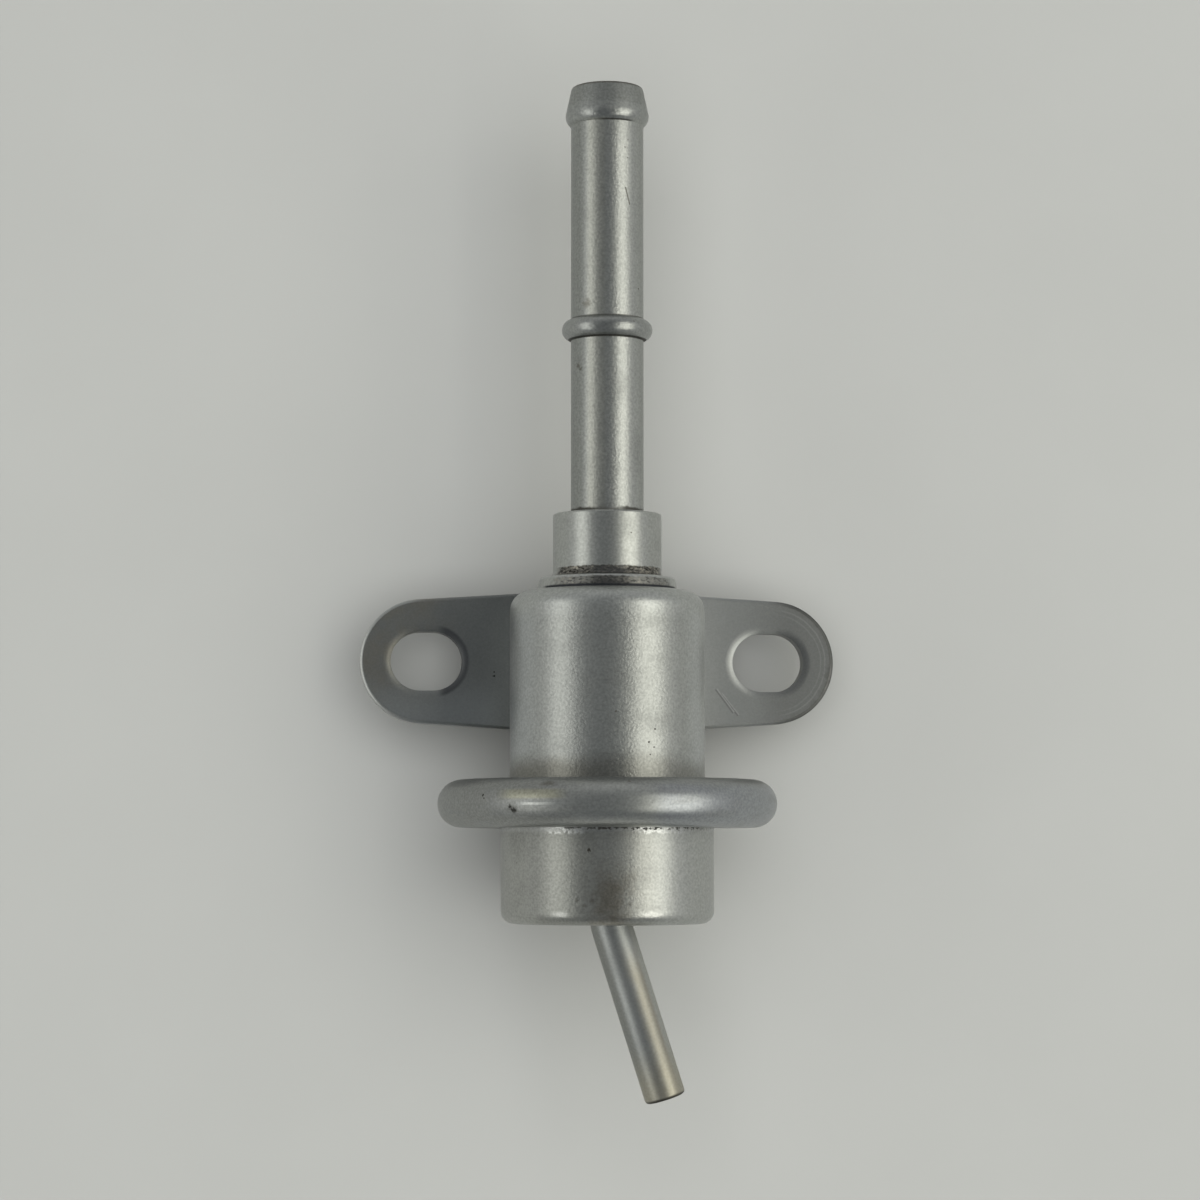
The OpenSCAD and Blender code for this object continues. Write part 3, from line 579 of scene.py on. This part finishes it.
def roll_face(piece, way, roll, from_wall, cuts=8):
    """Carries the face that looks up (way 1) or down (way -1) on, over a rolled edge that narrows it.

    The roll is given as its width, its depth and the power of its curve; the piece stays in edit mode.
    """
    take(piece)
    bpy.context.tool_settings.mesh_select_mode = (False, False, True)
    bpy.ops.object.mode_set(mode="EDIT")
    bpy.ops.mesh.select_all(action="DESELECT")
    bpy.ops.object.mode_set(mode="OBJECT")
    for face in piece.data.polygons:
        face.select = face.normal.z * way > 0.9
    bpy.ops.object.mode_set(mode="EDIT")
    width, depth, power = roll
    drops = [depth * (1 - cut / cuts if from_wall else cut / cuts) ** power for cut in range(cuts + 1)]
    for start, end in zip(drops, drops[1:]):
        bpy.ops.mesh.inset(thickness=width / cuts * MM, depth=abs(start - end) * MM)


bracket = hull_of("mounting_bracket_plate", [(0, HUB_R), (-EAR_AT, EAR_R), (EAR_AT, EAR_R)],
                  0, PLATE_T - OUTLINE_ROLL[1])
roll_face(bracket, 1, OUTLINE_ROLL, from_wall=True)
bpy.ops.object.mode_set(mode="OBJECT")
for side in (-1, 1):
    ends = [(side * SLOT_AT + run, SLOT_R + SLOT_ROLL[0]) for run in (-SLOT_RUN, SLOT_RUN)]
    punch = hull_of("slot_punch", ends, PLATE_T + OVERSHOOT, PLATE_T + PUNCH_H)
    roll_face(punch, -1, SLOT_ROLL, from_wall=False)
    bpy.ops.mesh.extrude_region_move(TRANSFORM_OT_translate={"value": (0, 0, -2 * PLATE_T * MM)})
    bpy.ops.object.mode_set(mode="OBJECT")
    apply_modifier(bracket, "BOOLEAN", operation="DIFFERENCE", solver="EXACT", object=punch)
    bpy.data.objects.remove(punch)
drill(bracket, BODY_R * MM, SADDLE_CUT * MM, (0, 0, AXIS_H), (pi / 2, 0, 0))
drill(bracket, INLET_SHANK_R * MM, SHANK_CUT * MM, (0, 0, 0))
smooth(bracket, 40)
apply_modifier(bracket, "WEIGHTED_NORMAL", keep_sharp=True)

bracket_zinc = zinc("bracket_zinc", colour=(0.40, 0.41, 0.405), roughness=0.43, grain=0.2, depth=0.003, contrast=0.4)
# Painted shade: the bracket darkens towards its left end.
left_side_shade = bracket_zinc.ramp(bracket_zinc.ragged(bracket_zinc.across, 8, 3), 6, -9)
bracket_zinc.coat(left_side_shade, (0.27, 0.28, 0.275))
warm = bracket_zinc.both(bracket_zinc.ramp(bracket_zinc.across, -15, -21),
                         bracket_zinc.ramp(bracket_zinc.noise(3), 0.3, 0.7))
bracket_zinc.coat(warm, (0.285, 0.275, 0.245))
left_low = bracket_zinc.both(bracket_zinc.ramp(bracket_zinc.across, -10, -13),
                             bracket_zinc.ramp(bracket_zinc.along, -1, -6))
bracket_zinc.coat(left_low, (0.36, 0.375, 0.375))
beside_body = bracket_zinc.both(bracket_zinc.ramp(bracket_zinc.across, 16, 11),
                                bracket_zinc.ramp(bracket_zinc.across, 5, 9))
bracket_zinc.coat(beside_body, (0.475, 0.485, 0.475))
right_end = bracket_zinc.ramp(bracket_zinc.ragged(bracket_zinc.across, 5, 3), 15, 22)
bracket_zinc.coat(right_end, (0.28, 0.286, 0.28))
from_right_ear = bracket_zinc.away(Vector((EAR_AT, 0, PLATE_T)))
far_right = bracket_zinc.ramp(bracket_zinc.across, 19, 23)
for ring, strength in ((5.5, 0.3), (6.0, 0.45)):
    rub = bracket_zinc.band(bracket_zinc.ragged(from_right_ear, 2, 0.25), ring - 0.04, ring + 0.04, 0.08)
    bracket_zinc.coat(bracket_zinc.both(rub, far_right, strength), (0.42, 0.43, 0.42))
bruised = bracket_zinc.ramp(bracket_zinc.ragged(from_right_ear, 1.2, 1.4), 6.2, 6.6)
bracket_zinc.coat(bracket_zinc.both(bruised, far_right, 0.4), (0.22, 0.22, 0.21), 0.5)
sheared = bracket_zinc.ramp(bracket_zinc.ragged(from_right_ear, 0.7, 0.2), EAR_R - 0.45, EAR_R - 0.3)
bracket_zinc.coat(bracket_zinc.both(sheared, far_right, 0.85), (0.11, 0.112, 0.108), 0.55)
bracket_zinc.marks((0.17, 0.17, 0.165), 0.5, [(26.4, -1.2, 2.2, 0.8), (26.1, -2.8, 2.2, 0.6)],
                   soft=0.8, flat=0.6, strength=0.7)
from_left_ear = bracket_zinc.away(Vector((-EAR_AT, 0, PLATE_T)))
# A lighter, glossier line along the left ear's outer edge: a painted highlight on its roll, and rubbed wear.
edge_sheen_and_wear = bracket_zinc.both(bracket_zinc.ramp(bracket_zinc.ragged(from_left_ear, 0.6, 0.12), EAR_R - 0.35, EAR_R - 0.25),
                           bracket_zinc.ramp(bracket_zinc.across, -19, -22))
bracket_zinc.coat(edge_sheen_and_wear, (0.44, 0.45, 0.435), 0.40)
from_left_slot = bracket_zinc.away(Vector((SLOT_RUN - SLOT_AT, 0, PLATE_T)))
# Painted shade on the left slot's right-hand rolled edge.
slot_roll_shade = bracket_zinc.both(bracket_zinc.ramp(from_left_slot, SLOT_R + 0.9, SLOT_R + 0.5),
                         bracket_zinc.ramp(bracket_zinc.across, -18.4, -17))
bracket_zinc.coat(slot_roll_shade, (0.13, 0.135, 0.14), 0.5)
bracket_zinc.marks((0.04, 0.042, 0.043), 0.6, [(-11.72, -1.2, 2.3, 0.13), (-11.72, -1.65, 2.3, 0.18)], soft=0.7)
for start, end in (((13.9, -3.55, 2.3), (15.8, -5.95, 2.3)), ((13.35, -3.1, 2.3), (15.25, -5.65, 2.3))):
    start, end = Vector(start), Vector(end)
    lit = bracket_zinc.line(start + SCRATCH_LIT_SIDE, end + SCRATCH_LIT_SIDE, 0.10)
    bracket_zinc.coat(bracket_zinc.line(start, end, 0.13), (0.29, 0.295, 0.29), 0.5)
    bracket_zinc.coat(lit, (0.52, 0.53, 0.52), 0.38)
fit(bracket, "mounting_bracket", bracket_zinc)


# Vacuum pipe: a 4.5 mm steel pipe with a slight bend, brazed in the bottom of the lower case. Its
# yellow passivation is still half glossy, and browner towards the tip. Its right half also carries a
# painted warm reflection, its flanks painted light and shade, and its tip painted shade.
VAC_BORE_R = 1.35
VAC_EDGE_R = 0.45
VAC_EDGE_CUTS = 12
VAC_BEND_R = 9.6
VAC_BEND = radians(17.6)
VAC_BEND_CUTS = 16
VAC_LEN = 18.9
VAC_START = Vector((0.2, -27.1))

bend_middle = Vector(((VAC_START.x + VAC_BEND_R) * MM, VAC_START.y * MM, AXIS_H))
bend_end = bend_middle + Vector((-cos(VAC_BEND), -sin(VAC_BEND), 0)) * VAC_BEND_R * MM
vac_way = Vector((sin(VAC_BEND), -cos(VAC_BEND), 0))
bpy.ops.object.select_all(action="DESELECT")
bpy.ops.mesh.primitive_circle_add(vertices=64, radius=VAC_R * MM, rotation=(pi / 2, 0, 0),
                                  location=(VAC_START.x * MM, VAC_START.y * MM, AXIS_H))
vacuum_pipe = bpy.context.object
bpy.ops.object.transform_apply(location=True, rotation=True)
vacuum_pipe.name = vacuum_pipe.data.name = "vacuum_pipe_tube"
bpy.context.tool_settings.mesh_select_mode = (True, False, False)
bpy.ops.object.mode_set(mode="EDIT")
bpy.ops.mesh.select_all(action="SELECT")
bpy.ops.mesh.spin(steps=VAC_BEND_CUTS, angle=VAC_BEND, center=bend_middle, axis=(0, 0, -1))
ring_at, ring_r = bend_end, VAC_R
rings = [(VAC_LEN - VAC_EDGE_R, VAC_R)]
for cut in range(1, VAC_EDGE_CUTS + 1):
    turn = pi * cut / VAC_EDGE_CUTS
    rings.append((VAC_LEN - VAC_EDGE_R + VAC_EDGE_R * sin(turn), VAC_R - VAC_EDGE_R + VAC_EDGE_R * cos(turn)))
rings.append((0, VAC_BORE_R))
for along, radius in rings:
    to = bend_end + vac_way * along * MM
    bpy.ops.mesh.extrude_edges_move(TRANSFORM_OT_translate={"value": to - ring_at})
    if radius != ring_r:
        size = radius / ring_r
        bpy.ops.transform.resize(value=(size, size, size), center_override=to)
    ring_at, ring_r = to, radius
bpy.ops.mesh.spin(steps=VAC_BEND_CUTS, angle=VAC_BEND, center=bend_middle, axis=(0, 0, 1))
bpy.ops.mesh.select_all(action="DESELECT")
bpy.ops.mesh.select_non_manifold()
bpy.ops.mesh.bridge_edge_loops()
close_up()
smooth(vacuum_pipe)

vacuum_zinc = zinc("vacuum_zinc", colour=(0.365, 0.376, 0.37), roughness=0.44, depth=0.003, contrast=0.5)
from_tip = vacuum_zinc.vector("SUBTRACT", vacuum_zinc.place, bend_end / MM + vac_way * VAC_LEN)
back_along = vacuum_zinc.node("ShaderNodeVectorMath", {0: from_tip, 1: -vac_way},
                              operation="DOT_PRODUCT").outputs["Value"]
to_right = vacuum_zinc.node("ShaderNodeVectorMath", {0: from_tip, 1: Vector((-vac_way.y, vac_way.x, 0))},
                            operation="DOT_PRODUCT").outputs["Value"]
# The right half's warm yellow tint: the passivation's colour, and partly a painted warm reflection.
warm_tint_and_sheen = vacuum_zinc.both(vacuum_zinc.ramp(vacuum_zinc.ragged(to_right, 2.5, 1.5), -0.6, 0.8),
                            vacuum_zinc.ramp(back_along, 18, 13))
vacuum_zinc.coat(warm_tint_and_sheen, (0.325, 0.312, 0.27))
# Painted light and shade: the right flank is lighter and the left flank darker.
vacuum_zinc.coat(vacuum_zinc.ramp(to_right, 1.35, 1.8), (0.41, 0.415, 0.392))
vacuum_zinc.coat(vacuum_zinc.ramp(to_right, -1.35, -1.8), (0.285, 0.292, 0.278))
vacuum_zinc.coat(vacuum_zinc.both(vacuum_zinc.ramp(back_along, 7, 0.5), 0.8), (0.39, 0.37, 0.302))
# Painted shade: the very end of the tip is dark.
vacuum_zinc.coat(vacuum_zinc.ramp(back_along, 0.45, 0.15), (0.075, 0.07, 0.06), 0.5)
fit(vacuum_pipe, "vacuum_pipe", vacuum_zinc)


# Inlet: a turned steel spigot, riveted through the bracket into the side of the case. Its nose goes
# into the fuel rail and carries a rubber O-ring in a groove.
INLET_UNION = [
    (3.0, -5.8, 0.2), (5.1, -5.8), (5.5, -5.4), (5.5, -4.0, 0.1), (3.9, -4.0, 0.15), (3.9, -1.2, 0.15),
    (5.5, -1.2, 0.1), (5.5, 0), (4.2, 0), (4.2, 4.53, 0.1), (3.0, 4.53, 0.1),
]

inlet = turned("inlet_union_spigot", INLET_UNION, segments=128, upright=True)
smooth(inlet)
inlet_zinc = zinc("inlet_zinc", roughness=0.34, contrast=0.6)
# Painted shade on the shank's short wall between the bracket and the case.
shank_shade = inlet_zinc.ramp(inlet_zinc.ragged(inlet_zinc.up, 0.5, 0.3), 2.1, 2.3)
inlet_zinc.coat(shank_shade, (0.11, 0.105, 0.095), 0.6)
fit(inlet, "inlet_union", inlet_zinc)


def plain(name, colour, roughness, metallic=1.0, size=0.6):
    """A clean surface whose colour and gloss vary only a little."""
    finish = Finish(name, colour, roughness, metallic)
    finish.coat(finish.ramp(finish.noise(size), 0.35, 0.75), tuple(c * 0.82 for c in colour), roughness + 0.05)
    return finish


def dress(nodes, finish):
    """Gives CAD nodes, whose shapes are right, a finish of their own."""
    material = finish.done()
    for node in nodes:
        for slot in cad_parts[node].material_slots:
            slot.material = material


dress(["inlet_o_ring"], plain("seal_rubber", (0.020, 0.020, 0.021), 0.42, metallic=0.0))


# Diaphragm: a disc of fabric-backed rubber with one rolled fold. Its thick edge is clamped in the rim
# and its middle is riveted to the valve, so that it bends where the valve moves.
DIAPHRAGM = [
    (2.6, -12.75), (8.25, -12.75, 1.05), (8.25, -17.35, 0.65), (9.55, -17.35, 0.65), (9.55, -15.15, 1.05),
    (11.6, -15.15), (11.6, -14.7), (15.8, -14.7, 0.1), (15.8, -16.3, 0.1), (11.6, -16.3), (11.6, -15.85),
    (10.25, -15.85, 0.35), (10.25, -18.05, 1.35), (7.55, -18.05, 1.35), (7.55, -13.45, 0.35), (2.6, -13.45),
]
THREAD_PITCH = 0.4

diaphragm = turned("diaphragm_disc", DIAPHRAGM)
smooth(diaphragm)
rubber = Finish("diaphragm_rubber", (0.030, 0.028, 0.026), 0.55, metallic=0.0)
warp = rubber.math("SINE", rubber.math("MULTIPLY", rubber.across, 2 * pi / THREAD_PITCH))
weft = rubber.math("SINE", rubber.math("MULTIPLY", rubber.up, 2 * pi / THREAD_PITCH))
weave = rubber.math("MULTIPLY", warp, weft)
rubber.coat(rubber.ramp(weave, 0.0, 0.8), (0.055, 0.050, 0.045), 0.7)
rubber.grain, rubber.grain_depth = weave, 0.02 * MM
fit(diaphragm, "diaphragm", rubber, body=None)
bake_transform(diaphragm)


# Springs: both are coiled from drawn wire. The main one stands on its seat and lifts the spring cup,
# and the small one keeps the valve's ball up against its ring.
MAIN_SPRING = {"coil": 5.55, "wire": 0.75, "turns": 6, "low": -26.35, "length": 11.25, "closed": 1.55}
BALL_SPRING = {"coil": 1.1, "wire": 0.2, "turns": 3, "low": -13.15, "length": 1.931, "closed": 0.644}


def coil(name, spring, steps):
    """Wire wound round the regulator's axis, with one closed turn at each end."""
    def rise(turn):
        turns, length, closed = spring["turns"], spring["length"], spring["closed"]
        if turn < 1:
            return closed * turn
        if turn > turns - 1:
            return length - closed * (turns - turn)
        return closed + (length - 2 * closed) * (turn - 1) / (turns - 2)

    start_point(name)
    path = []
    for step in range(steps * spring["turns"] + 1):
        turn = step / steps
        swing = 2 * pi * turn
        path.append(Vector((spring["coil"] * cos(swing) * MM, (spring["low"] + rise(turn)) * MM,
                            AXIS_H - spring["coil"] * sin(swing) * MM)))
    draw_line(path)
    bpy.ops.object.mode_set(mode="OBJECT")
    bpy.ops.object.convert(target="CURVE")
    piece = bpy.context.object
    piece.data.bevel_depth = spring["wire"] * MM
    piece.data.bevel_resolution = 4
    piece.data.use_fill_caps = True
    bpy.ops.object.convert(target="MESH")
    piece = bpy.context.object
    piece.name = piece.data.name = name
    bpy.ops.object.mode_set(mode="EDIT")
    close_up()
    smooth(piece, 50)
    return piece


main_spring = coil("main_spring_coil", MAIN_SPRING, steps=32)
main_steel = plain("main_spring_steel", (0.22, 0.22, 0.225), 0.34)
fit(main_spring, "main_spring", main_steel, body=None)
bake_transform(main_spring)
ball_spring = coil("ball_spring_coil", BALL_SPRING, steps=24)
ball_steel = plain("ball_spring_steel", (0.42, 0.42, 0.42), 0.28, size=0.3)
fit(ball_spring, "ball_spring", ball_steel, body="valve")


# Valve: pressed steel plates hold the diaphragm between them, a turned stainless socket is riveted
# through both, and its polished ball closes the turned brass seat in the boss.
dress(["spring_seat", "diaphragm_plate", "spring_cup"], plain("pressed_zinc", (0.46, 0.46, 0.445), 0.33))
dress(["valve_holder", "ball_retainer"], plain("turned_stainless", (0.50, 0.50, 0.49), 0.25))
dress(["valve_ball"], plain("polished_ball", (0.62, 0.62, 0.63), 0.09, size=0.3))
dress(["valve_seat"], plain("turned_brass", (0.58, 0.41, 0.17), 0.27))


# Stage: a plain pale floor of matt paper, with a faint unevenness of tone. The part lies on it, on its
# rim and on the inlet's nose.
FLOOR_SIZE = 4

bpy.ops.object.select_all(action="DESELECT")
bpy.ops.mesh.primitive_plane_add(size=FLOOR_SIZE, location=(0, 0, cad_box[0].z))
floor = bpy.context.object
floor.name = "floor"
paper = Finish("floor_paper", (0.36, 0.364, 0.35), 0.9, metallic=0.0)
paper.coat(paper.ramp(paper.noise(30), 0.3, 0.7), (0.352, 0.356, 0.342))
floor.data.materials.append(paper.done())


# Lights: a long soft box on each side of the part, brighter towards its lower end, and a dim room
# that is darkest overhead. A broad fill from above lights the floor and isn't mirrored in the metal.
ROOM_LOW = (0.25, (0.52, 0.525, 0.52, 1))
ROOM_OVERHEAD = (0.95, (0.18, 0.19, 0.197, 1))
DARK_BEHIND = -0.6


def soft_box(name, lean, away, width, length, along, radiance, tint=(1, 1, 1)):
    """A soft box that leans from straight above towards +X, and faces the case; sizes are in metres."""
    lean = radians(lean)
    place = Vector((sin(lean) * away, along, cos(lean) * away))
    bpy.ops.object.light_add(type="AREA", location=place, rotation=(0, lean, 0))
    box = bpy.context.object
    box.name = name
    box.data.shape = "RECTANGLE"
    box.data.size, box.data.size_y = width, length
    box.data.energy = radiance * pi * width * length
    box.data.color = tint
    return box


soft_box("left_box", lean=-60, away=0.7, width=0.30, length=0.98, along=-0.13, radiance=1.11, tint=(1, 1, 0.93))
soft_box("left_low_box", lean=-60, away=0.68, width=0.30, length=0.2, along=-0.24, radiance=0.15, tint=(1, 1, 0.97))
soft_box("right_box", lean=43, away=0.7, width=0.43, length=0.98, along=-0.13, radiance=1.79, tint=(1, 0.985, 0.88))
soft_box("right_low_box", lean=43, away=0.68, width=0.43, length=0.2, along=-0.24, radiance=0.4, tint=(1, 1, 0.95))
fill = soft_box("floor_fill", lean=0, away=0.9, width=1.1, length=1.1, along=0.04, radiance=2.65)
fill.visible_glossy = False

room = bpy.data.worlds.new("room")
bpy.context.scene.world = room
room.use_nodes = True
nodes = room.node_tree.nodes
sky = nodes["Background"]
way = nodes.new("ShaderNodeTexCoord")
split = nodes.new("ShaderNodeSeparateXYZ")
behind = nodes.new("ShaderNodeMath")
behind.operation = "MULTIPLY"
behind.inputs[1].default_value = DARK_BEHIND
shade = nodes.new("ShaderNodeMath")
shade.operation = "MAXIMUM"
shade.inputs[1].default_value = 0
height = nodes.new("ShaderNodeMath")
height.operation = "ADD"
ramp = nodes.new("ShaderNodeValToRGB")
for out, into in ((way.outputs["Generated"], split.inputs["Vector"]), (split.outputs["Y"], behind.inputs[0]),
                  (behind.outputs["Value"], shade.inputs[0]), (shade.outputs["Value"], height.inputs[0]),
                  (split.outputs["Z"], height.inputs[1]), (height.outputs["Value"], ramp.inputs["Fac"]),
                  (ramp.outputs["Color"], sky.inputs["Color"])):
    room.node_tree.links.new(out, into)
for stop, (position, colour) in zip(ramp.color_ramp.elements, (ROOM_LOW, ROOM_OVERHEAD)):
    stop.position, stop.color = position, colour
bpy.context.scene.view_settings.view_transform = "Standard"


# Camera: as in the photograph, about 36 cm above the part and a little to its lower left, with a
# long lens.
LOOK_AT = Vector((-0.8, 6.19, 12.7)) * MM
CAMERA_AWAY = 358.8 * MM
LEAN_LEFT = radians(5.5)
LEAN_LOW = radians(4.4)
SENSOR = 36
LENS = 98.25

lean_x, lean_y = -sin(LEAN_LEFT), -sin(LEAN_LOW)
back = Vector((lean_x, lean_y, sqrt(1 - lean_x ** 2 - lean_y ** 2)))
bpy.ops.object.camera_add(location=LOOK_AT + back * CAMERA_AWAY)
camera = bpy.context.object
right = Vector((0, 1, 0)).cross(back).normalized()
up = back.cross(right)
camera.rotation_mode = "QUATERNION"
camera.rotation_quaternion = Matrix((right, up, back)).transposed().to_quaternion()
camera.data.sensor_width = SENSOR
camera.data.lens = LENS
camera.data.clip_start, camera.data.clip_end = 0.01, 20
bpy.context.scene.camera = camera
